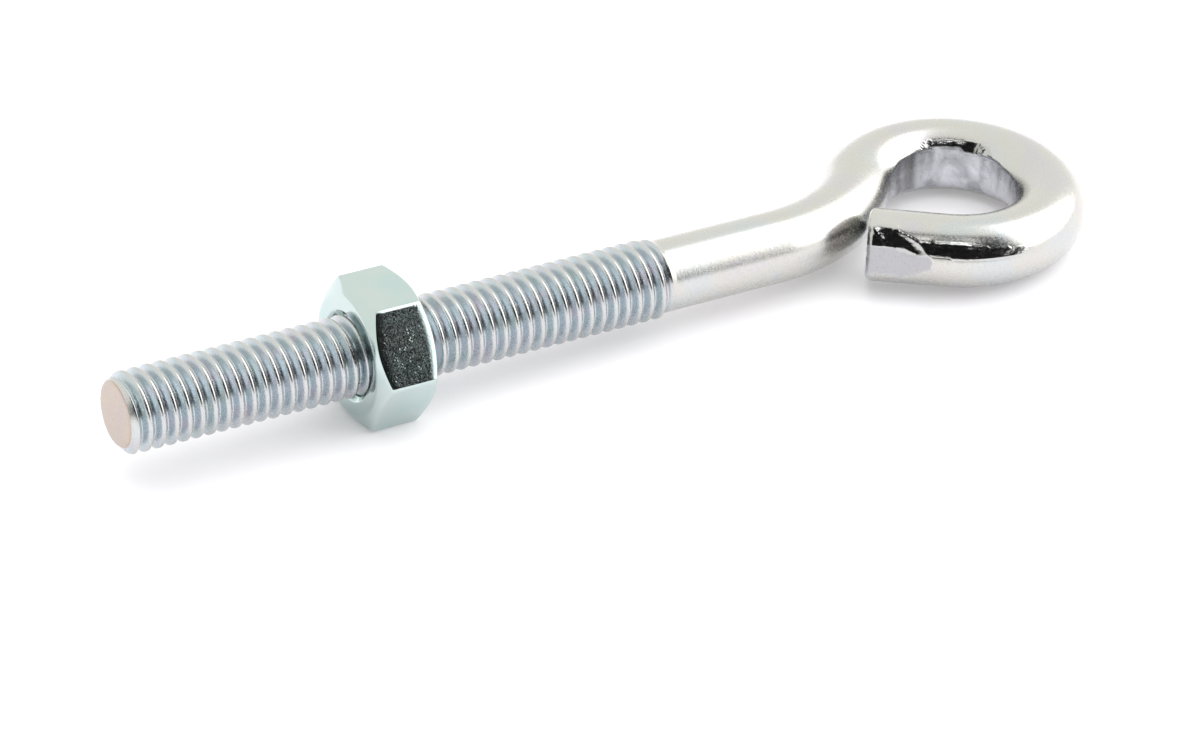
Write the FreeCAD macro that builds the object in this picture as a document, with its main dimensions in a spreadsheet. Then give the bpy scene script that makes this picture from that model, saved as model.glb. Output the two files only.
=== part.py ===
"""Bent-rod eye bolt with an M6 thread and one hexagon nut.

Frame: millimetres, +Z up, origin at the centre of the eye. The thread's axis is X and the tip
points to -X. The eye lies in the XY plane, so the bolt lies flat with the eye's hole upright.
The rod leaves the shank, bends towards +Y, goes round the far side of the eye and comes back
along the near side, where it ends in a short straight tail beside the neck.
"""
import FreeCAD, Part
import math
import os
import Sketcher

DIMENSIONS = {
    "rod_diameter": 5.35,      # drawn rod, which is also the plain shank
    "eye_bore": 9.2,           # inside diameter of the eye
    "neck_radius": 12.8,       # centre-line radius of the bend from the shank into the eye
    "wrap_end": 124.9,         # where the eye's arc stops, in degrees from +X round the near side
    "tail_length": 5.85,       # straight end of the rod after the eye's arc
    "tail_round": 0.5,         # rounded edge of the sheared end
    "tip_reach": 68.75,        # eye centre to the end of the bolt
    "thread_length": 43.65,    # tip to the end of the rolled thread
    "pitch": 1.0,
    "flank_angle": 30.0,       # each flank leans this far from square to the axis
    "bolt_major": 5.95,
    "bolt_flank": 5.26,        # pitch diameter of the bolt's thread
    "bolt_root": 4.7,
    "tip_face": 4.9,           # diameter of the flat at the tip
    "tip_chamfer": 0.6,        # length of the chamfer behind it
    "runout": 0.6,             # length over which the last crest sinks to the shank
    "groove_start": 69.35,     # eye centre to the groove's middle on the +Y side, before the tip
    "groove_turns": 44,
    "across_flats": 9.9,
    "nut_height": 4.9,
    "nut_place": 48.2,         # eye centre to the nut's middle
    "nut_face": 8.9,           # diameter of the flat ring on each end of the nut
    "nut_mouth": 6.75,         # diameter of the countersink at each end
    "chamfer_angle": 30.0,     # slope of the corner chamfers, from the nut's end faces
    "chamfer_reach": 7.0,      # radius that the chamfer's cut runs out to, past the corners
    "nut_minor": 5.05,
    "nut_flank": 5.46,         # pitch diameter of the nut's thread
    "nut_major": 6.15,
    "nut_groove_start": 51.85,  # eye centre to the nut groove's middle on the +Y side
    "nut_groove_turns": 7,
    "bearing_height": 0.2,     # slice of the nut that holds its eye-side face
    "tool_margin": 0.03,       # how far a thread's cutting profile stands proud of the stock
}


def make_sheet(doc):
    """The driving dimensions, one named cell each."""
    sheet = doc.addObject("Spreadsheet::Sheet", "sheet")
    for row, (alias, value) in enumerate(DIMENSIONS.items(), start=1):
        sheet.set(f"A{row}", alias)
        sheet.set(f"B{row}", str(value))
        sheet.setAlias(f"B{row}", alias)
    doc.recompute()
    return sheet


def new_body(doc, label):
    body = doc.addObject("PartDesign::Body", label)
    body.Label = label
    body.Placement = FreeCAD.Placement()
    return body


def new_sketch(body, name, role):
    """A sketch on one of the body's own origin planes."""
    sketch = body.newObject("Sketcher::SketchObject", name)
    plane = next(item for item in body.Origin.OriginFeatures if item.Role == role)
    sketch.AttachmentSupport = [(plane, "")]
    sketch.MapMode = "FlatFace"
    return sketch


def pin_point(sketch, geometry, end, across, up):
    """Hold one point at two distances from the sketch's origin, each given as an expression."""
    point = sketch.getPoint(geometry, end)
    for kind, now, wanted in (("DistanceX", point.x, across), ("DistanceY", point.y, up)):
        index = sketch.addConstraint(Sketcher.Constraint(kind, -1, 1, geometry, end, now))
        sketch.setExpression(f"Constraints[{index}]", wanted)


def polygon(sketch, corners):
    """A closed outline of straight sides, with each corner held by a pair of expressions."""
    count = len(corners)
    spots = [
        FreeCAD.Vector(math.cos(math.tau * i / count), math.sin(math.tau * i / count), 0)
        for i in range(count)
    ]
    for i in range(count):
        sketch.addGeometry(Part.LineSegment(spots[i], spots[(i + 1) % count]), False)
    for i in range(count):
        sketch.addConstraint(Sketcher.Constraint("Coincident", i, 2, (i + 1) % count, 1))
    for i, (across, up) in enumerate(corners):
        pin_point(sketch, i, 1, across, up)


def circle_section(body, name, place, diameter):
    """A circle about the X axis, on a plane at the given place along it."""
    sketch = new_sketch(body, name, "YZ_Plane")
    sketch.setExpression("AttachmentOffset.Base.z", place)
    sketch.addGeometry(Part.Circle(FreeCAD.Vector(), FreeCAD.Vector(0, 0, 1), 1.0), False)
    sketch.addConstraint(Sketcher.Constraint("Coincident", 0, 3, -1, 1))
    size = sketch.addConstraint(Sketcher.Constraint("Diameter", 0, 1.0))
    sketch.setExpression(f"Constraints[{size}]", diameter)
    return sketch


def turned(body, kind, name, corners):
    """A revolved feature about the X axis: kind is Revolution to add and Groove to cut."""
    sketch = new_sketch(body, f"{name}_outline", "XY_Plane")
    polygon(sketch, corners)
    body.Document.recompute()
    feature = body.newObject(f"PartDesign::{kind}", name)
    feature.Profile = sketch
    feature.ReferenceAxis = (sketch, ["H_Axis"])
    feature.Angle = 360
    body.Document.recompute()
    return feature


def helical_cut(body, name, start, turns, inner, outer, flank, lean):
    """A right-hand V groove about the X axis, cut from start towards +X.

    inner and outer are the profile's radii and flank its pitch diameter. lean is 1 for a groove
    that widens outwards, as on a bolt, and -1 for one that narrows, as in a nut.
    """
    def half_width(radius):
        slope = f"tan(sheet.flank_angle * 1deg) * ({lean})"
        return f"(sheet.pitch / 4 + ({radius} - {flank} / 2) * {slope})"

    sketch = new_sketch(body, f"{name}_profile", "XY_Plane")
    polygon(sketch, [
        (f"-{start} - {half_width(inner)}", inner),
        (f"-{start} + {half_width(inner)}", inner),
        (f"-{start} + {half_width(outer)}", outer),
        (f"-{start} - {half_width(outer)}", outer),
    ])
    body.Document.recompute()
    groove = body.newObject("PartDesign::SubtractiveHelix", name)
    groove.Profile = sketch
    groove.ReferenceAxis = (sketch, ["H_Axis"])
    groove.Mode = "pitch-turns-angle"
    groove.setExpression("Pitch", "sheet.pitch")
    groove.setExpression("Turns", turns)
    body.Document.recompute()
    return groove


def rod_centreline(body):
    """Shank, neck bend, eye and tail as one tangent line in the XY plane.

    The neck's arc touches the X axis and the eye's circle, so its start follows from the two
    radii: the three sides of the right triangle between the arcs' centres.
    """
    size = DIMENSIONS
    eye = (size["eye_bore"] + size["rod_diameter"]) / 2
    neck = size["neck_radius"]
    neck_start = -math.sqrt(eye * eye + 2 * eye * neck)
    meet = math.atan2(neck, neck_start)
    stop = -math.radians(size["wrap_end"])
    tail = size["tail_length"]

    def at(x, y):
        return FreeCAD.Vector(x, y, 0)

    up = FreeCAD.Vector(0, 0, 1)
    shank_start = size["thread_length"] - size["tip_reach"]
    corner = at(eye * math.cos(stop), eye * math.sin(stop))
    end = corner + at(math.sin(stop), -math.cos(stop)) * tail

    sketch = new_sketch(body, "rod_centreline", "XY_Plane")
    neck_circle = Part.Circle(at(neck_start, neck), up, neck)
    eye_circle = Part.Circle(at(0, 0), up, eye)
    sketch.addGeometry(Part.LineSegment(at(shank_start, 0), at(neck_start, 0)), False)
    sketch.addGeometry(Part.ArcOfCircle(neck_circle, -math.pi / 2, meet - math.pi), False)
    sketch.addGeometry(Part.ArcOfCircle(eye_circle, stop, meet), False)
    sketch.addGeometry(Part.LineSegment(corner, end), False)

    pin_point(sketch, 0, 1, "sheet.thread_length - sheet.tip_reach", "0")
    sketch.addConstraint(Sketcher.Constraint("Horizontal", 0))
    sketch.addConstraint(Sketcher.Constraint("Tangent", 0, 2, 1, 1))
    sketch.addConstraint(Sketcher.Constraint("Tangent", 1, 2, 2, 2))
    sketch.addConstraint(Sketcher.Constraint("Tangent", 2, 1, 3, 1))
    sketch.addConstraint(Sketcher.Constraint("Coincident", 2, 3, -1, 1))
    bound = (
        (("Radius", 1, neck), "sheet.neck_radius"),
        (("Radius", 2, eye), "(sheet.eye_bore + sheet.rod_diameter) / 2"),
        (("Distance", 3, tail), "sheet.tail_length"),
    )
    for arguments, expression in bound:
        index = sketch.addConstraint(Sketcher.Constraint(*arguments))
        sketch.setExpression(f"Constraints[{index}]", expression)
    index = sketch.addConstraint(
        Sketcher.Constraint("DistanceX", -1, 1, 2, 1, eye * math.cos(stop))
    )
    sketch.setExpression(
        f"Constraints[{index}]",
        "(sheet.eye_bore + sheet.rod_diameter) / 2 * cos(sheet.wrap_end * 1deg)",
    )
    body.Document.recompute()
    return sketch


def round_tail(body, pipe):
    """Rounded rim where the rod was sheared off: the edge farthest back along the near side."""
    rims = []
    for number, edge in enumerate(pipe.Shape.Edges, start=1):
        middle = edge.CenterOfMass
        circular = edge.Curve.TypeId == "Part::GeomCircle" and edge.isClosed()
        if circular and middle.y < -1 and middle.x < 0:
            rims.append((middle.x, f"Edge{number}"))
    fillet = body.newObject("PartDesign::Fillet", "tail_rim")
    fillet.Base = (pipe, [min(rims)[1]])
    fillet.setExpression("Radius", "sheet.tail_round")
    body.Document.recompute()
    return fillet


def make_eye_bolt(doc):
    body = new_body(doc, "eye_bolt")
    path = rod_centreline(body)
    section = circle_section(
        body, "rod_section", "sheet.thread_length - sheet.tip_reach", "sheet.rod_diameter"
    )
    doc.recompute()
    rod = body.newObject("PartDesign::AdditivePipe", "bent_rod")
    rod.Profile = section
    rod.Spine = path
    doc.recompute()
    round_tail(body, rod)
    end = "(sheet.thread_length - sheet.tip_reach)"
    turned(body, "Revolution", "threaded_blank", [
        ("-sheet.tip_reach", "0"),
        ("-sheet.tip_reach", "sheet.tip_face / 2"),
        ("-sheet.tip_reach + sheet.tip_chamfer", "sheet.bolt_major / 2"),
        (f"{end} - sheet.runout", "sheet.bolt_major / 2"),
        (end, "sheet.rod_diameter / 2"),
        (end, "0"),
    ])
    helical_cut(
        body, "bolt_thread", "sheet.groove_start", "sheet.groove_turns",
        "sheet.bolt_root / 2", "(sheet.bolt_major / 2 + sheet.tool_margin)",
        "sheet.bolt_flank", 1,
    )
    return body


NUT_NEAR = "(-sheet.nut_place - sheet.nut_height / 2)"
NUT_FAR = "(-sheet.nut_place + sheet.nut_height / 2)"
MOUTH_DEPTH = "((sheet.nut_mouth - sheet.nut_minor) / 2)"


def chamfer_triangle(face, inward):
    """Corner cut at one end of the nut: a cone that starts from the rim of its flat ring."""
    rise = "(sheet.chamfer_reach - sheet.nut_face / 2) * tan(sheet.chamfer_angle * 1deg)"
    return [
        (face, "sheet.nut_face / 2"),
        (face, "sheet.chamfer_reach"),
        (f"{face} + ({inward}) * {rise}", "sheet.chamfer_reach"),
    ]


def make_hex_nut(doc):
    """The nut without the thin slice at its eye-side face. It stands on a flat, corners at +-Y."""
    body = new_body(doc, "hex_nut")
    hexagon = new_sketch(body, "hexagon", "YZ_Plane")
    hexagon.setExpression("AttachmentOffset.Base.z", NUT_NEAR)
    corner = "sheet.across_flats / sqrt(3)"
    polygon(hexagon, [
        (f"{corner} * cos({60 * i}deg)", f"{corner} * sin({60 * i}deg)") for i in range(6)
    ])
    doc.recompute()
    prism = body.newObject("PartDesign::Pad", "prism")
    prism.Profile = hexagon
    prism.setExpression("Length", "sheet.nut_height - sheet.bearing_height")
    doc.recompute()
    turned(body, "Groove", "tip_side_chamfer", chamfer_triangle(NUT_NEAR, 1))
    turned(body, "Groove", "eye_side_chamfer", chamfer_triangle(NUT_FAR, -1))
    turned(body, "Groove", "bore", [
        (NUT_NEAR, "0"),
        (NUT_NEAR, "sheet.nut_mouth / 2"),
        (f"{NUT_NEAR} + {MOUTH_DEPTH}", "sheet.nut_minor / 2"),
        (f"{NUT_FAR} - {MOUTH_DEPTH}", "sheet.nut_minor / 2"),
        (NUT_FAR, "sheet.nut_mouth / 2"),
        (NUT_FAR, "0"),
    ])
    helical_cut(
        body, "nut_thread", "sheet.nut_groove_start", "sheet.nut_groove_turns",
        "(sheet.nut_minor / 2 - sheet.tool_margin)", "sheet.nut_major / 2",
        "sheet.nut_flank", -1,
    )
    return body


def make_nut_bearing_face(doc):
    """The slice of the nut that ends in its eye-side flat ring. It is round, inside and out."""
    body = new_body(doc, "nut_bearing_face")
    spread = "sheet.bearing_height / tan(sheet.chamfer_angle * 1deg)"
    turned(body, "Revolution", "ring", [
        (NUT_FAR, "sheet.nut_mouth / 2"),
        (NUT_FAR, "sheet.nut_face / 2"),
        (f"{NUT_FAR} - sheet.bearing_height", f"sheet.nut_face / 2 + {spread}"),
        (f"{NUT_FAR} - sheet.bearing_height", "sheet.nut_mouth / 2 - sheet.bearing_height"),
    ])
    return body


def check(doc, bodies):
    """Stop before anything is written if a feature failed or a shape isn't one sound solid."""
    for item in doc.Objects:
        if {"Invalid", "Error"} & set(item.State):
            raise RuntimeError(f"{item.Name} failed: {item.State}")
    for body in bodies:
        shape = body.Shape
        if shape.isNull() or not shape.isValid() or len(shape.Solids) != 1:
            raise RuntimeError(f"{body.Label} isn't one valid solid")
        print(f"{body.Label}: {shape.Volume:.2f} mm3, {len(shape.Faces)} faces")


def main():
    doc = FreeCAD.newDocument("eye_bolt_with_nut")
    make_sheet(doc)
    bodies = [make_eye_bolt(doc), make_hex_nut(doc), make_nut_bearing_face(doc)]
    doc.recompute()
    check(doc, bodies)
    os.makedirs("parts", exist_ok=True)
    for body in bodies:
        body.Shape.exportStep(f"parts/{body.Label}.step")


main()
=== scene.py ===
import math

import bpy
import numpy as np
from mathutils import Matrix, Vector


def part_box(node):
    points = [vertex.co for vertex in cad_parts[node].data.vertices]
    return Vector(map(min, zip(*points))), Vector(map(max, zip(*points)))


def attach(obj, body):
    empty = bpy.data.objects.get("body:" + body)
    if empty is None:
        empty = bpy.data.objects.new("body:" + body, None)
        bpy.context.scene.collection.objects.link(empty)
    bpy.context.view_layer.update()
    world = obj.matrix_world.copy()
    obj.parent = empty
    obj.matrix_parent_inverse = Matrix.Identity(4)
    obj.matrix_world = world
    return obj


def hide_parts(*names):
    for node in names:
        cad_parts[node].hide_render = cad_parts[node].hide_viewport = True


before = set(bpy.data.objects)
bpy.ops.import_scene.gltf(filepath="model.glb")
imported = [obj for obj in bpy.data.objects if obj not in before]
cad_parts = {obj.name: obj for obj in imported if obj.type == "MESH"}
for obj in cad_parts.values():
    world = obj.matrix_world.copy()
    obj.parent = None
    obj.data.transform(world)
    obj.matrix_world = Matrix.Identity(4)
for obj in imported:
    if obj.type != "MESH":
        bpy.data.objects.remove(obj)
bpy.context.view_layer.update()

# All shapes are worked out in millimetres and stored in metres.
MM = 0.001
TURN = 2 * math.pi
SIXTH = math.pi / 3
TWELFTH = math.pi / 6

# ---------------------------------------------------------------- sizes of the bolt
BOLT_LOW, BOLT_HIGH = (Vector(v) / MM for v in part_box("eye_bolt"))
TIP = BOLT_LOW.x
ROD = 2.675                       # radius of the plain rod
INSET = 0.015                     # keeps the eye inside the design's outline
EYE = BOLT_HIGH.x - ROD - INSET   # radius of the eye's centre line
NECK = 12.8                       # radius of the neck's centre line
BEND_IN = 0.7                     # half the length over which a bend comes in
WRAP_END = math.radians(124.9)    # where the eye's arc stops, from +X round the near side
TAIL = 5.85                       # straight tail after it
END_ROUND = 0.5                   # rounding of the sheared end
TIP_RIM = 2.42                    # radius of the tip's chamfer at its small end
TIP_FLARE = 0.95                  # how much it widens in each millimetre along the bolt
TIP_BLEND = 0.10

# ---------------------------------------------------------------- sizes of the nut
NUT_LOW, NUT_HIGH = (Vector(v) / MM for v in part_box("hex_nut"))
_, FACE_HIGH = (Vector(v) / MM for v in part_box("nut_bearing_face"))
NUT_FROM = NUT_LOW.x
NUT_TO = FACE_HIGH.x
APOTHEM = NUT_HIGH.z
CORNER_ROUND = 0.32
RING = 4.45                       # outer radius of the flat ring on each face
MOUTH = 3.375                     # radius of the countersink at each face
MOUTH_BLEND = 0.04
CHAMFER_SLOPE = math.tan(math.radians(30))
MOUTH_EDGE, RING_EDGE, CHAMFER_EDGE = 0.05, 0.16, 0.1   # reach of each edge's rounding

# ---------------------------------------------------------------- sizes of both threads
PITCH = 1.0
THREAD_END = TIP + 43.65
RUN_OUT_FROM = THREAD_END - 1.15
RUN_OUT = 1.1                     # length over which the groove fades out
CREST_PHASE = 0.15                # x of a crest on the +Y side, as a fraction of the pitch
FLANK_SLOPE = math.tan(math.radians(30))
# flank is the flank's radius at flank_at pitches from the middle of the bolt's crest. outer and
# inner are where the profile stops, and the rounds say how softly.
BOLT_THREAD = {"flank": 2.63, "flank_at": 0.31, "outer": 2.98, "outer_round": 0.05,
               "inner": 2.37, "inner_round": 0.08}
NUT_THREAD = {"flank": 2.73, "flank_at": 0.25, "outer": 3.08, "outer_round": 0.04,
              "inner": 2.525, "inner_round": 0.04}
GROOVE_TOP = 2.955                # radius below which the flanks' colour begins
GROOVE_EDGE = 0.10                # how far below it that colour is full


def smooth(t):
    t = np.clip(t, 0.0, 1.0)
    return t * t * (3 - 2 * t)


def soft_min(a, b, blend):
    return 0.5 * (a + b - np.sqrt((a - b) ** 2 + blend * blend))


def soft_max(a, b, blend):
    return 0.5 * (a + b + np.sqrt((a - b) ** 2 + blend * blend))


def thread_phase(x, angle):
    """How far a point is from the middle of the bolt's crest, in pitches (-0.5 to 0.5)."""
    phase = (x - CREST_PHASE) / PITCH - angle / TURN
    return phase - np.floor(phase + 0.5)


def thread_radius(phase, flank, flank_at, outer, outer_round, inner, inner_round):
    """The radius of a thread's profile, rounded off outside and inside."""
    radius = flank + (flank_at - np.abs(phase)) * PITCH / FLANK_SLOPE
    return soft_max(soft_min(radius, outer, outer_round), inner, inner_round)


def mesh_object(name, points, faces, body, marks=None):
    """A smooth-shaded mesh from points in millimetres, riding on a body. marks are numbers
    kept at each point for the material to read."""
    mesh = bpy.data.meshes.new(name)
    mesh.from_pydata([tuple(p) for p in np.asarray(points) * MM], [], faces)
    for mark, values in (marks or {}).items():
        mesh.attributes.new(mark, "FLOAT", "POINT").data.foreach_set("value", values)
    mesh.update()
    mesh.polygons.foreach_set("use_smooth", [True] * len(mesh.polygons))
    piece = bpy.data.objects.new(name, mesh)
    bpy.context.scene.collection.objects.link(piece)
    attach(piece, body)
    return piece


# ---------------------------------------------------------------- the rod's middle line
NECK_START = -math.sqrt(EYE * EYE + 2 * EYE * NECK)
NECK_TURN = math.atan2(-NECK_START, NECK)
EYE_TURN = math.atan2(NECK, NECK_START) + WRAP_END
NECK_END_S = NECK_START + NECK * NECK_TURN
EYE_END_S = NECK_END_S + EYE * EYE_TURN
ROD_END = EYE_END_S + TAIL
LINE_STEP = 0.02
LINE_SPARE = 3.0                  # how far the line goes on past each end of the rod


def make_centre_line():
    """Finely stepped line along the rod. s is x on the shank, and distance from there on."""
    s = np.arange(TIP - LINE_SPARE, ROD_END + LINE_SPARE, LINE_STEP)
    bend = np.where(s < NECK_START, 0.0, np.where(s < NECK_END_S, 1 / NECK, -1 / EYE))
    bend = np.where(s > EYE_END_S, 0.0, bend)
    kernel = np.hanning(2 * int(BEND_IN / LINE_STEP) + 1)
    kernel /= kernel.sum()
    bend = np.convolve(bend, kernel, mode="same")
    heading = np.cumsum(bend) * LINE_STEP
    x = s[0] + np.cumsum(np.cos(heading)) * LINE_STEP
    y = np.cumsum(np.sin(heading)) * LINE_STEP
    return s, x, y, heading


LINE = make_centre_line()


def on_rod(s, angle, radius):
    """Points on the rod at distance s, at an angle from its left side up over the top."""
    at, line_x, line_y, line_heading = LINE
    x = np.interp(s, at, line_x)
    y = np.interp(s, at, line_y)
    heading = np.interp(s, at, line_heading)
    side = radius * np.cos(angle)
    px = x - side * np.sin(heading)
    py = y + side * np.cos(heading)
    pz = radius * np.sin(angle)
    return np.stack([px, py, pz], axis=-1)


# ---------------------------------------------------------------- marks of the tools that closed the eye
# Places are distances along the rod, and depths are in millimetres.
INNER_WALL = NECK_END_S + 9.6     # deepest point of the flat round the inside
WALL_DEPTH = 0.62
WALL_FACING = math.radians(178)
# Middle of a near-black patch of painted shade on the inner wall, standing in for the dark that the wall
# reflects there.
PAINTED_SHADE_AT = NECK_END_S + 5.2
FAR_PATCH = (NECK_END_S + 7.4, NECK_END_S + 14.4)
FAR_DEPTH = 0.13
FAR_FACING = math.radians(147)
NEAR_PATCH = (ROD_END - 10.4, ROD_END - 2.4)
NEAR_DEPTH, NEAR_SHALLOWER = 0.058, 0.028
NEAR_FACING, NEAR_LOWER = math.radians(29), math.radians(6)
END_FACET = ROD_END - 4.8         # where the pinched end begins
FACET_FACING = math.radians(8)
ROUGH_FACING = math.radians(33)
SHARP = 0.015                     # rounding of a patch's edge
FACET_EDGE = 0.02                 # rounding of a facet's edge
POLISH_DEPTH = 0.004              # a cut deeper than this polishes the metal
FULL_PRESS = 0.05                 # a cut this deep counts as fully pressed
# Raised lines, as points of distance along the rod and angle round it in degrees.
V_MARK = ((ROD_END - 0.25, 60), (ROD_END - 1.25, 37), (ROD_END - 2.1, 60))
NEAR_SCRATCH = ((ROD_END - 4.9, 40), (ROD_END - 6.4, 42), (ROD_END - 7.9, 37))
FAR_SCRATCH = ((NECK_END_S + 7.6, 139), (NECK_END_S + 9.4, 136))


def jagged(s, seed):
    """An uneven line along the rod, between about -1 and 1."""
    waves = ((5.1, 0.50), (2.37, 0.32), (1.21, 0.20), (0.53, 0.08))
    return sum(share * np.sin(TURN * s / length + seed * (n + 1.7))
               for n, (length, share) in enumerate(waves))


def bell(s, middle, before, after):
    """1 at the middle, falling off over one length before it and another after it."""
    return np.exp(-((s - middle) / np.where(s < middle, before, after)) ** 2)


def between(s, low, high, edge):
    return smooth((s - low) / edge + 0.5) * smooth((high - s) / edge + 0.5)


def flattened(radius, angle, facing, depth, blend):
    """The rod pressed flat on the side that faces one way round it, to a depth at each point."""
    lean = np.cos(angle - facing)
    flat = (ROD - depth) / np.maximum(lean, 0.05)
    pressed = soft_min(radius, flat, blend * np.clip(depth / 0.1, 0, 1) + 1e-6)
    return np.where((lean > 0.3) & (depth > 1e-4), pressed, radius)


def ridge(s, angle, points, height, width):
    """A thin raised line through points given as distance along the rod and angle in degrees."""
    x, y = s, ROD * angle
    lift = np.zeros_like(s)
    for (s0, a0), (s1, a1) in zip(points, points[1:]):
        x0, y0, x1, y1 = s0, ROD * math.radians(a0), s1, ROD * math.radians(a1)
        span = (x1 - x0) ** 2 + (y1 - y0) ** 2
        along = np.clip(((x - x0) * (x1 - x0) + (y - y0) * (y1 - y0)) / span, 0, 1)
        gap = np.hypot(x - x0 - along * (x1 - x0), y - y0 - along * (y1 - y0))
        lift = np.maximum(lift, np.exp(-(gap / width) ** 2))
    return height * lift


def eye_marks(s, angle, radius):
    """The radius with the eye's tool marks in it, how much of a mark each point is in, and where shade is
    painted near the start of the inner wall.
    """
    angle = angle % TURN
    round_rod = radius
    # the flat round the inside, softer on its lower half
    uneven = 1 + 0.13 * jagged(s, 1.0)
    depth = WALL_DEPTH * bell(s, INNER_WALL, 7.0, 9.0) * uneven * smooth((s - NECK_START - 6.0) / 4.0)
    side = np.where(angle < math.pi, SHARP, 0.16)
    radius = flattened(radius, angle, WALL_FACING, depth, side)
    wall = np.clip((round_rod - radius) / FULL_PRESS, 0, 1)
    # A near-black patch of painted shade near the start of the inner wall, standing in for the dark that
    # the wall reflects there.
    patchy = np.clip(0.9 + 0.5 * jagged(s, 6.0), 0, 1)
    painted_shade = 0.95 * wall * bell(s, PAINTED_SHADE_AT, 1.7, 1.5) * patchy
    # the patch above it, on the far side
    low, high = FAR_PATCH
    depth = FAR_DEPTH * between(s, low, high, 1.8) * (1 + 0.35 * jagged(s, 2.0))
    before = radius
    radius = flattened(radius, angle, FAR_FACING, depth, SHARP)
    polished = radius < before - POLISH_DEPTH
    # the patch on the outside of the near side, which runs into the pinched end
    signed = np.where(angle > math.pi, angle - TURN, angle)
    low, high = NEAR_PATCH
    facing = NEAR_FACING - NEAR_LOWER * smooth((high - 3.0 - s) / 4.5)
    depth = NEAR_DEPTH - NEAR_SHALLOWER * smooth((high - 3.5 - s) / 3.5)
    depth = depth * between(s, low, high, 1.6)
    depth = depth * (1 + 0.25 * jagged(s, 3.0))
    before = radius
    radius = flattened(radius, signed, facing, depth, SHARP)
    polished |= radius < before - POLISH_DEPTH
    # the pinched end: a facet on the outside, and a rough one above it
    rise = np.clip((signed - FACET_FACING) / math.radians(46), 0, 1.6)
    edge = END_FACET + 2.1 * rise ** 1.5
    within = smooth((s - edge) / 0.16 + 0.5)
    press = within * (0.10 + 0.34 * smooth((s - edge) / 2.2)) * (1 + 0.06 * jagged(s, 4.0))
    radius = flattened(radius, signed, FACET_FACING, press, FACET_EDGE)
    press = within * 0.29 * smooth((s - edge) / 1.2 + 0.3) * (1 + 0.15 * jagged(s, 5.0))
    before = radius
    radius = flattened(radius, signed, ROUGH_FACING, press, FACET_EDGE)
    polished |= radius < before - POLISH_DEPTH
    radius = radius + ridge(s, signed, V_MARK, 0.07, 0.13)
    radius = radius + ridge(s, signed, NEAR_SCRATCH, 0.045, 0.17)
    radius = radius + ridge(s, angle, FAR_SCRATCH, 0.05, 0.20)
    pressed = np.clip((round_rod - radius) / FULL_PRESS, 0, 1)
    return radius, {"polished": polished.astype(float), "pressed": pressed, "wall": wall, "painted_shade": painted_shade}


# ---------------------------------------------------------------- the rod's skin
AROUND = 104                      # columns round the rod
# Where the rows cross a thread's profile, in pitches from the crest.
ROW_PHASES = np.array([0, .07, .11, .18, .26, .34, .42, .5, .58, .66, .74, .82, .89, .93])
# The longest step between rows on the shank and neck, round the eye, and along its near side.
SHANK_ROW, EYE_ROW, NEAR_ROW = 0.32, 0.21, 0.13
# Each ring of an end cap: its size beside the rim, and how far it has come to the end's plane.
CAP_RINGS = ((0.985, 0.45), (0.965, 0.8), (0.94, 1.0), (0.86, 1.0),
             (0.72, 1.0), (0.54, 1.0), (0.36, 1.0), (0.18, 1.0))
RIM_LOW, RIM_HIGH = TIP + 0.10, ROD_END - 0.02


def rod_radius(s, angle):
    radius = thread_radius(thread_phase(s, angle), **BOLT_THREAD)
    fade = smooth((s - RUN_OUT_FROM) / RUN_OUT)
    groove = np.clip((GROOVE_TOP - radius) / GROOVE_EDGE, 0, 1) * (1 - fade)
    radius = radius * (1 - fade) + ROD * fade
    radius = soft_min(radius, TIP_RIM + (s - TIP) * TIP_FLARE, TIP_BLEND)
    radius, marks = eye_marks(s, angle, radius)
    into = np.clip(s - (ROD_END - END_ROUND), 0, END_ROUND * 0.98)
    radius = radius - END_ROUND + np.sqrt(END_ROUND ** 2 - into ** 2)
    marks.update(groove=groove, thread=1 - fade)
    return radius, marks


def row_starts():
    """Where each row of the rod's helix begins: at the same phases in every turn of the thread,
    then at steps that suit the part of the rod."""
    first = math.floor(TIP) - 2
    last = math.ceil(THREAD_END) + 1
    starts = (np.arange(first, last)[:, None] + ROW_PHASES[None, :] * PITCH).ravel() + CREST_PHASE
    starts = list(starts)
    step = starts[-1] - starts[-2]
    while starts[-1 - 2 * len(ROW_PHASES)] < ROD_END + 0.5:
        at = starts[-1]
        widest = SHANK_ROW if at < NECK_END_S - 3 else EYE_ROW if at < NEAR_PATCH[0] else NEAR_ROW
        step = min(step * 1.06, max(widest, step * 0.94))
        starts.append(starts[-1] + step)
    return np.array(starts)


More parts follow.
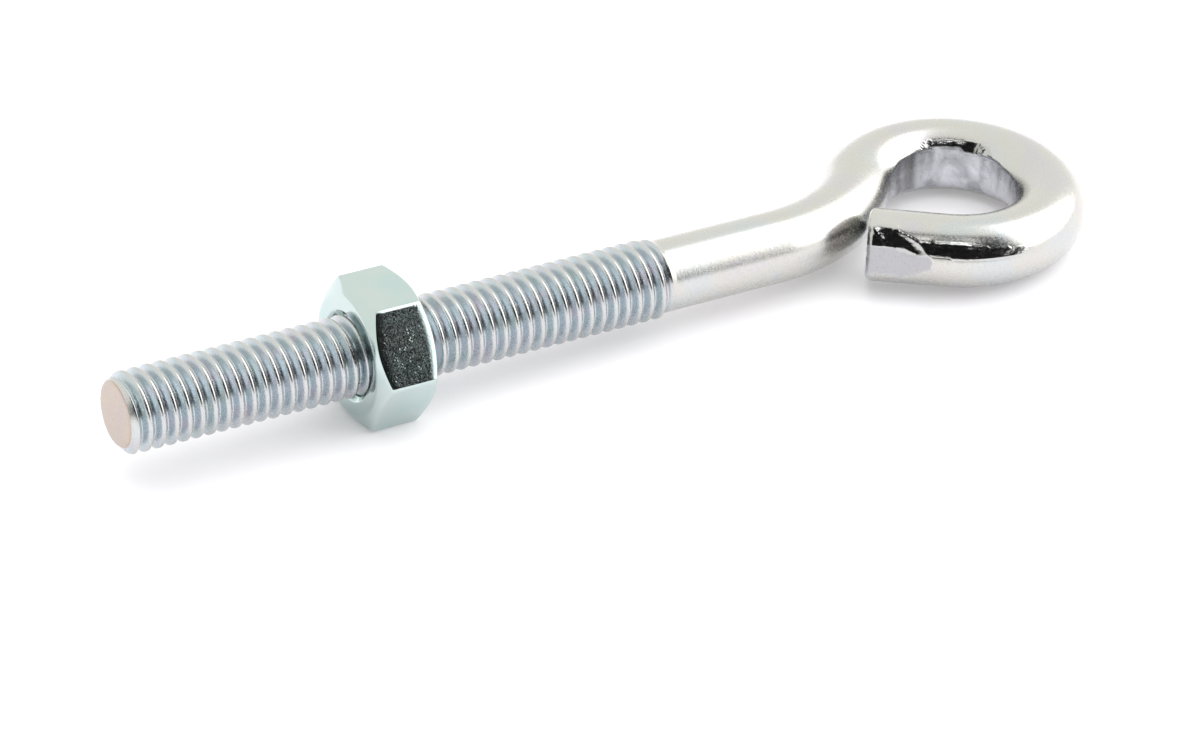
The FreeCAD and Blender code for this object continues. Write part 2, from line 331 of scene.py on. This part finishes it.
def make_rod():
    starts = row_starts()
    per_turn = len(ROW_PHASES)
    rows = len(starts) - per_turn
    share = np.arange(AROUND) / AROUND
    s = starts[:rows, None] + (starts[per_turn:per_turn + rows] - starts[:rows])[:, None] * share
    angle = np.broadcast_to(share * TURN, s.shape)
    inside = (s > RIM_LOW) & (s < RIM_HIGH)
    index = np.full(s.shape, -1)
    index[inside] = np.arange(inside.sum())
    count = int(inside.sum())
    radius, marks = rod_radius(s[inside], angle[inside])
    spots = [on_rod(s[inside], angle[inside], radius)]
    low_ring = count + np.arange(AROUND)
    high_ring = low_ring + AROUND
    turn = share * TURN
    for end in (RIM_LOW, RIM_HIGH):
        ends = np.full(AROUND, end)
        spots.append(on_rod(ends, turn, rod_radius(ends, turn)[0]))
    index = np.where(s <= RIM_LOW, low_ring[None, :], index)
    index = np.where(s >= RIM_HIGH, high_ring[None, :], index)
    # each row joins the next; past the last column a row goes on as the one a full turn later
    wrap = np.concatenate([index[:-per_turn], index[per_turn:, :1]], axis=1)
    a, b = wrap[:-1, :-1], wrap[:-1, 1:]
    c, d = wrap[1:, 1:], wrap[1:, :-1]
    quads = np.stack([a, b, c, d], axis=-1).reshape(-1, 4)
    faces = []
    for quad in quads.tolist():
        kept = [v for n, v in enumerate(quad) if v != quad[n - 1]]
        if len(set(kept)) == len(kept) >= 3:
            faces.append(tuple(kept))
    spots = np.concatenate(spots)
    count = len(spots)
    # end caps: rings drawn in to the middle, with the first ones rounding the rim over
    extra = []
    for ring, at, sign in ((low_ring, TIP, -1), (high_ring, ROD_END, 1)):
        rim = spots[ring]
        rim_centre = rim.mean(axis=0)
        end_centre = on_rod(np.array([at]), np.array([0.0]), np.array([0.0]))[0]
        rings = [ring]
        for size, rise in CAP_RINGS:
            extra.append(rim_centre + (rim - rim_centre) * size + (end_centre - rim_centre) * rise)
            rings.append(np.arange(count, count + AROUND))
            count += AROUND
        extra.append(end_centre[None, :])
        middle = count
        count += 1
        for inner, outer in zip(rings[1:], rings[:-1]):
            for j in range(AROUND):
                k = (j + 1) % AROUND
                face = (outer[j], outer[k], inner[k], inner[j])
                faces.append(tuple(int(v) for v in (face if sign > 0 else face[::-1])))
        for j in range(AROUND):
            face = (int(rings[-1][j]), int(rings[-1][(j + 1) % AROUND]), middle)
            faces.append(face if sign > 0 else face[::-1])
    points = np.concatenate([spots] + extra)
    # the rims and the caps carry no marks
    marks = {mark: np.append(values, np.zeros(len(points) - len(values)))
             for mark, values in marks.items()}
    return mesh_object("threaded_rod_with_eye", points, faces, "bolt", marks)


# ---------------------------------------------------------------- the nut
THREAD_ROW = 0.0625               # step between the rows of the nut's thread
FIRST_ROW = 0.1                   # how far inside each face those rows stop
# Angles of the columns from a corner to the middle of a side, in degrees.
CORNER_COLUMNS = [0, 0.5, 1, 1.5, 2, 3, 4.5, 7, 10, 14, 18, 22, 26]


def nut_thread(x, angle):
    radius = thread_radius(thread_phase(x, angle), **NUT_THREAD)
    mouth = MOUTH - np.minimum(x - NUT_FROM, NUT_TO - x)
    return soft_max(radius, mouth, MOUTH_BLEND)


def hexagon_radius(angle):
    """Distance from the axis to the nut's side. Corners are on the Y axis and every sixth turn."""
    off = np.abs((angle + TWELFTH) % SIXTH - TWELFTH)
    flat = APOTHEM / np.cos(TWELFTH - off)
    middle = (APOTHEM - CORNER_ROUND) / math.cos(TWELFTH)
    reach = middle + CORNER_ROUND * math.cos(TWELFTH)
    tangent = math.atan2(CORNER_ROUND * 0.5, reach)
    under = np.maximum(CORNER_ROUND ** 2 - (middle * np.sin(off)) ** 2, 0)
    return np.where(off < tangent, middle * np.cos(off) + np.sqrt(under), flat)


def rounded_corner(before, corner, after, reach, steps):
    """Points of a small curve that replaces a corner of the profile."""
    def towards(end):
        span = end - corner
        length = np.linalg.norm(span, axis=-1, keepdims=True)
        return corner + span / length * np.minimum(reach, length * 0.45)

    start, stop = towards(before), towards(after)
    for t in np.linspace(0, 1, steps):
        yield (1 - t) ** 2 * start + 2 * t * (1 - t) * corner + t * t * stop


def spread(start, stop, shares):
    """Points on the way from one corner of the profile to the next."""
    return [start * (1 - t) + stop * t for t in shares]


def make_nut():
    sector = np.radians(CORNER_COLUMNS)
    half = np.concatenate([sector, [TWELFTH], (SIXTH - sector[1:])[::-1]])
    angle = np.concatenate([half + k * math.pi / 3 for k in range(6)])
    side = hexagon_radius(angle)
    drop = np.maximum((side - RING) * CHAMFER_SLOPE, 0)
    into = 0.5                    # places a point on each countersink's 45 degree cone

    def at(x, radius):
        return np.stack([np.broadcast_to(x, side.shape), np.broadcast_to(radius, side.shape)], -1)

    bore_tip, bore_eye = at(NUT_FROM + into, MOUTH - into), at(NUT_TO - into, MOUTH - into)
    mouth_tip, mouth_eye = at(NUT_FROM, MOUTH), at(NUT_TO, MOUTH)
    ring_tip, ring_eye = at(NUT_FROM, RING), at(NUT_TO, RING)
    edge_tip, edge_eye = at(NUT_FROM + drop, side), at(NUT_TO - drop, side)
    profile = []
    profile += rounded_corner(bore_tip, mouth_tip, ring_tip, MOUTH_EDGE, 4)
    profile += spread(mouth_tip, ring_tip, (0.3, 0.6))
    profile += rounded_corner(mouth_tip, ring_tip, edge_tip, RING_EDGE, 4)
    profile += spread(ring_tip, edge_tip, (0.5,))
    profile += rounded_corner(ring_tip, edge_tip, edge_eye, CHAMFER_EDGE, 5)
    profile += spread(edge_tip, edge_eye, (0.15, 0.3, 0.5, 0.7, 0.85))
    profile += rounded_corner(edge_tip, edge_eye, ring_eye, CHAMFER_EDGE, 5)
    profile += spread(ring_eye, edge_eye, (0.5,))
    profile += rounded_corner(edge_eye, ring_eye, mouth_eye, RING_EDGE, 4)
    profile += spread(ring_eye, mouth_eye, (0.4, 0.7))
    profile += rounded_corner(ring_eye, mouth_eye, bore_eye, MOUTH_EDGE, 4)
    for x in np.arange(NUT_TO - FIRST_ROW, NUT_FROM + FIRST_ROW, -THREAD_ROW):
        profile.append(at(x, nut_thread(x, angle)))
    profile = np.array(profile)
    x, radius = profile[..., 0], profile[..., 1]
    points = np.stack([x, radius * np.cos(angle), radius * np.sin(angle)], axis=-1)
    rows, around = x.shape
    index = np.arange(rows * around).reshape(rows, around)
    faces = []
    for i in range(rows):
        n = (i + 1) % rows
        for j in range(around):
            k = (j + 1) % around
            faces.append((int(index[i, j]), int(index[n, j]), int(index[n, k]), int(index[i, k])))
    return mesh_object("hexagon_nut", points.reshape(-1, 3), faces, "nut")


# ---------------------------------------------------------------- materials
# The last of these marks is painted shade, not a tool mark.
MARKS = ("groove", "thread", "polished", "pressed", "wall", "painted_shade")
GRAIN_DEPTH = 0.00002             # metres
# Colours along a ramp, each with its place on it.
PLAIN_TINTS = [(0.30, (0.545, 0.570, 0.580)), (0.44, (0.570, 0.575, 0.560)),
               (0.56, (0.585, 0.572, 0.535)), (0.70, (0.575, 0.555, 0.565))]
FLANK_TINTS = [(0.32, (0.500, 0.560, 0.565)), (0.45, (0.505, 0.565, 0.600)),
               (0.55, (0.520, 0.560, 0.600)), (0.68, (0.555, 0.548, 0.588))]
WALL_TINTS = [(0.34, (0.36, 0.36, 0.39)), (0.52, (0.62, 0.63, 0.67))]
TIP_TINTS = [(0.35, (0.445, 0.380, 0.355)), (0.65, (0.475, 0.400, 0.325))]
NUT_TINTS = [(0.35, (0.490, 0.600, 0.590)), (0.65, (0.530, 0.610, 0.590))]
CREST_TINT = (0.56, 0.56, 0.55)
PRESSED_TINT = (0.37, 0.37, 0.395)
POLISHED_TINT = (0.50, 0.50, 0.49)
# Colour of the painted shade near the start of the inner wall.
PAINTED_SHADE_TINT = (0.16, 0.16, 0.16)


class Nodes:
    """Short way to write a node tree."""

    def __init__(self, tree):
        self.tree = tree

    def add(self, kind, **values):
        node = self.tree.nodes.new(kind)
        for key, value in values.items():
            setattr(node, key, value)
        return node

    def link(self, source, target):
        self.tree.links.new(source, target)

    def value(self, target, source):
        if isinstance(source, bpy.types.NodeSocket):
            self.link(source, target)
        else:
            target.default_value = source

    def math(self, operation, a, b):
        node = self.add("ShaderNodeMath", operation=operation)
        self.value(node.inputs[0], a)
        self.value(node.inputs[1], b)
        return node.outputs[0]

    def noise(self, where, scale, detail, rough, distortion=0.0):
        """Noise with scale cells in a metre."""
        node = self.add("ShaderNodeTexNoise")
        self.link(where, node.inputs["Vector"])
        node.inputs["Scale"].default_value = scale
        node.inputs["Detail"].default_value = detail
        node.inputs["Roughness"].default_value = rough
        node.inputs["Distortion"].default_value = distortion
        return node.outputs[0]

    def mark(self, name):
        """A number kept at each point of the mesh."""
        return self.add("ShaderNodeAttribute", attribute_name=name).outputs["Fac"]

    def value_range(self, source, low, high, to_low, to_high, mode="LINEAR"):
        node = self.add("ShaderNodeMapRange", interpolation_type=mode)
        self.link(source, node.inputs["Value"])
        for name, value in (("From Min", low), ("From Max", high), ("To Min", to_low), ("To Max", to_high)):
            node.inputs[name].default_value = value
        return node.outputs["Result"]

    def ramp(self, source, stops):
        node = self.add("ShaderNodeValToRGB")
        elements = node.color_ramp.elements
        while len(elements) < len(stops):
            elements.new(0.5)
        for element, (place, colour) in zip(elements, stops):
            element.position = place
            element.color = (*colour, 1.0)
        self.link(source, node.inputs[0])
        return node.outputs[0]

    def mix(self, share, a, b):
        node = self.add("ShaderNodeMix", data_type="RGBA")
        self.value(node.inputs["Factor"], share)
        for name, source in (("A", a), ("B", b)):
            target = [s for s in node.inputs if s.name == name and s.type == "RGBA"][0]
            if isinstance(source, tuple):
                target.default_value = (*source, 1.0)
            else:
                self.link(source, target)
        return [s for s in node.outputs if s.type == "RGBA"][0]

    def bump(self, height, strength):
        node = self.add("ShaderNodeBump")
        node.inputs["Strength"].default_value = strength
        node.inputs["Distance"].default_value = GRAIN_DEPTH
        self.link(height, node.inputs["Height"])
        return node.outputs[0]


def new_material(name):
    material = bpy.data.materials.new(name)
    material.use_nodes = True
    tree = material.node_tree
    tree.nodes.clear()
    nodes = Nodes(tree)
    shader = nodes.add("ShaderNodeBsdfPrincipled")
    output = nodes.add("ShaderNodeOutputMaterial")
    nodes.link(shader.outputs[0], output.inputs[0])
    return material, nodes, shader


def bolt_material():
    material, n, shader = new_material("bright_zinc")
    shader.inputs["Metallic"].default_value = 1.0
    place = n.add("ShaderNodeTexCoord").outputs["Object"]
    groove, thread, polished, pressed, wall, painted_shade = (n.mark(name) for name in MARKS)
    plain = n.ramp(n.noise(place, 230.0, 2.0, 0.5, 0.8), PLAIN_TINTS)
    flank = n.ramp(n.noise(place, 420.0, 2.0, 0.6, 0.5), FLANK_TINTS)
    base = n.mix(groove, n.mix(thread, plain, CREST_TINT), flank)
    base = n.mix(n.math("MULTIPLY", pressed, 0.8), base, PRESSED_TINT)
    base = n.mix(n.math("MULTIPLY", polished, 0.8), base, POLISHED_TINT)
    smear = n.ramp(n.noise(place, 300.0, 3.0, 0.6, 0.4), WALL_TINTS)
    base = n.mix(n.math("MULTIPLY", wall, n.math("SUBTRACT", 1.0, polished)), base, smear)
    # Painted shade: the inner wall darkened near its start.
    base = n.mix(painted_shade, base, PAINTED_SHADE_TINT)
    along = n.add("ShaderNodeSeparateXYZ")
    n.link(place, along.inputs[0])
    tip = n.math("LESS_THAN", along.outputs[0], (TIP + 0.1) * MM)
    warm = n.ramp(n.noise(place, 520.0, 3.0, 0.6), TIP_TINTS)
    base = n.mix(tip, base, warm)
    n.link(base, shader.inputs["Base Color"])
    fine = n.noise(place, 4200.0, 3.0, 0.7)
    rough = n.math("ADD", n.value_range(fine, 0.3, 0.7, 0.17, 0.31), n.math("MULTIPLY", groove, 0.05))
    rough = n.math("SUBTRACT", rough, n.math("MULTIPLY", polished, 0.09))
    n.link(rough, shader.inputs["Roughness"])
    scuffs = n.math("MULTIPLY", n.noise(place, 1500.0, 3.0, 0.6), n.math("MULTIPLY", polished, 10.0))
    height = n.math("ADD", n.noise(place, 3600.0, 5.0, 0.75), scuffs)
    n.link(n.bump(height, 0.3), shader.inputs["Normal"])
    return material


def nut_material():
    material, n, shader = new_material("tinted_zinc")
    shader.inputs["Metallic"].default_value = 1.0
    place = n.add("ShaderNodeTexCoord").outputs["Object"]
    base = n.ramp(n.noise(place, 320.0, 2.0, 0.5), NUT_TINTS)
    n.link(base, shader.inputs["Base Color"])
    fine = n.noise(place, 7000.0, 3.0, 0.7)
    n.link(n.value_range(fine, 0.35, 0.65, 0.07, 0.16), shader.inputs["Roughness"])
    pits = n.add("ShaderNodeTexVoronoi", feature="F1")
    n.link(place, pits.inputs["Vector"])
    pits.inputs["Scale"].default_value = 5200.0
    few = n.value_range(n.noise(place, 1400.0, 3.0, 0.6), 0.42, 0.66, 0.0, 0.45)
    dents = n.math("MULTIPLY", n.value_range(pits.outputs["Distance"], 0.05, 0.35, -1.0, 0.0), few)
    height = n.math("ADD", dents, n.math("MULTIPLY", n.noise(place, 3800.0, 4.0, 0.7), 0.22))
    n.link(n.bump(height, 0.45), shader.inputs["Normal"])
    return material


# ---------------------------------------------------------------- floor, light and camera
FLOOR_SLOPE = 0.0423              # the bolt lies on the nut and the eye, so it leans this much
FLOOR_TOUCH = 46.5                # the nut stands on the floor this far from the eye's middle
FLOOR_HALF = 2.0                  # half the floor's side, in metres
BOX = (2.8, 2.8, 2.8)
WALLS = (1.14, 1.15, 1.11)
DARK = (0.012, 0.012, 0.012)
DOME_LOW = (0.40, 0.40, 0.40)
DOME_HIGH = (2.15, 2.15, 2.15)
# Each edge of a light is a direction, and how far along it the light starts and is full.
BOX_EDGES = (((1, 0, 0), 0.32, 0.44), ((0, 0, 1), 0.11, 0.19),
             ((0, -1, 0), -0.34, -0.20), ((1.6, 1, 0), -0.09, 0.02))
DARK_EDGES = (((-0.30, -0.82, 0.48), 0.60, 0.68), ((0, 0, 1), 0.03, 0.10))
LAMP_EDGE = ((-0.17, -0.49, 0.855), 0.980, 0.992)
DOME_EDGE = ((0.45, 0.05, 0.89), 0.1, 0.9)
# The photograph's camera, as fitted to the thread, the nut and the eye.
LENS = 179.15
CAMERA_PLACE = (-221.02, -316.65, 220.41)
CAMERA_RIGHT = (0.86829, -0.49425, 0.04221)
CAMERA_DOWN = (-0.22811, -0.4734, -0.8508)
CAMERA_AHEAD = (0.44049, 0.72912, -0.52379)


def make_floor():
    touch = Vector((-FLOOR_TOUCH, 0, -APOTHEM)) * MM
    middle = touch + Vector((FLOOR_TOUCH * MM, 0, FLOOR_TOUCH * MM * FLOOR_SLOPE))
    along = Vector((1, 0, FLOOR_SLOPE)).normalized() * FLOOR_HALF
    across = Vector((0, 1, 0)) * FLOOR_HALF
    corners = [middle + along * a + across * b for a, b in ((-1, -1), (1, -1), (1, 1), (-1, 1))]
    mesh = bpy.data.meshes.new("floor")
    mesh.from_pydata([tuple(c) for c in corners], [], [(0, 1, 2, 3)])
    floor = bpy.data.objects.new("floor", mesh)
    bpy.context.scene.collection.objects.link(floor)
    material, _, shader = new_material("white_table")
    shader.inputs["Base Color"].default_value = (0.80, 0.79, 0.81, 1)
    # The floor also glows a little: painted light that lifts its shadows and brightens what the metal
    # reflects of it.
    shader.inputs["Emission Color"].default_value = (1.0, 1.0, 1.0, 1)
    shader.inputs["Emission Strength"].default_value = 0.20
    shader.inputs["Roughness"].default_value = 0.9
    shader.inputs["Specular IOR Level"].default_value = 0.0
    mesh.materials.append(material)


def make_world():
    """What the metal reflects: a large soft box to the right, a dark room behind the camera with
    one small lamp in it, and pale walls all round. The table is lit from overhead and a little
    from the right, and the camera itself sees plain white."""
    world = bpy.data.worlds.new("studio")
    bpy.context.scene.world = world
    world.use_nodes = True
    tree = world.node_tree
    tree.nodes.clear()
    n = Nodes(tree)
    background = n.add("ShaderNodeBackground")
    output = n.add("ShaderNodeOutputWorld")
    n.link(background.outputs[0], output.inputs[0])
    way = n.add("ShaderNodeTexCoord").outputs["Generated"]

    def towards(vector, low, high):
        node = n.add("ShaderNodeVectorMath", operation="DOT_PRODUCT")
        n.link(way, node.inputs[0])
        node.inputs[1].default_value = vector
        return n.value_range(node.outputs["Value"], low, high, 0.0, 1.0, "SMOOTHSTEP")

    def inside(edges):
        share = 1.0
        for edge in edges:
            share = n.math("MULTIPLY", towards(*edge), share)
        return share

    seen = n.mix(inside(DARK_EDGES), WALLS, DARK)
    seen = n.mix(towards(*LAMP_EDGE), seen, BOX)
    seen = n.mix(inside(BOX_EDGES), seen, BOX)
    dome = n.mix(towards(*DOME_EDGE), DOME_LOW, DOME_HIGH)
    rays = n.add("ShaderNodeLightPath")
    seen = n.mix(rays.outputs["Is Diffuse Ray"], seen, dome)
    seen = n.mix(rays.outputs["Is Camera Ray"], seen, (1.0, 1.0, 1.0))
    n.link(seen, background.inputs["Color"])


def make_camera():
    data = bpy.data.cameras.new("camera")
    data.sensor_fit = "HORIZONTAL"
    data.sensor_width = 36.0
    data.lens = LENS
    data.clip_start = 0.01
    data.clip_end = 20.0
    camera = bpy.data.objects.new("camera", data)
    bpy.context.scene.collection.objects.link(camera)
    right, down, ahead = Vector(CAMERA_RIGHT), Vector(CAMERA_DOWN), Vector(CAMERA_AHEAD)
    turn = Matrix((right, -down, -ahead)).transposed().to_4x4()
    camera.matrix_world = Matrix.Translation(Vector(CAMERA_PLACE) * MM) @ turn
    bpy.context.scene.camera = camera


rod = make_rod()
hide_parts("eye_bolt")
rod.data.materials.append(bolt_material())
nut = make_nut()
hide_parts("hex_nut", "nut_bearing_face")
nut.data.materials.append(nut_material())
make_floor()
make_world()
make_camera()
bpy.context.scene.view_settings.view_transform = "Standard"
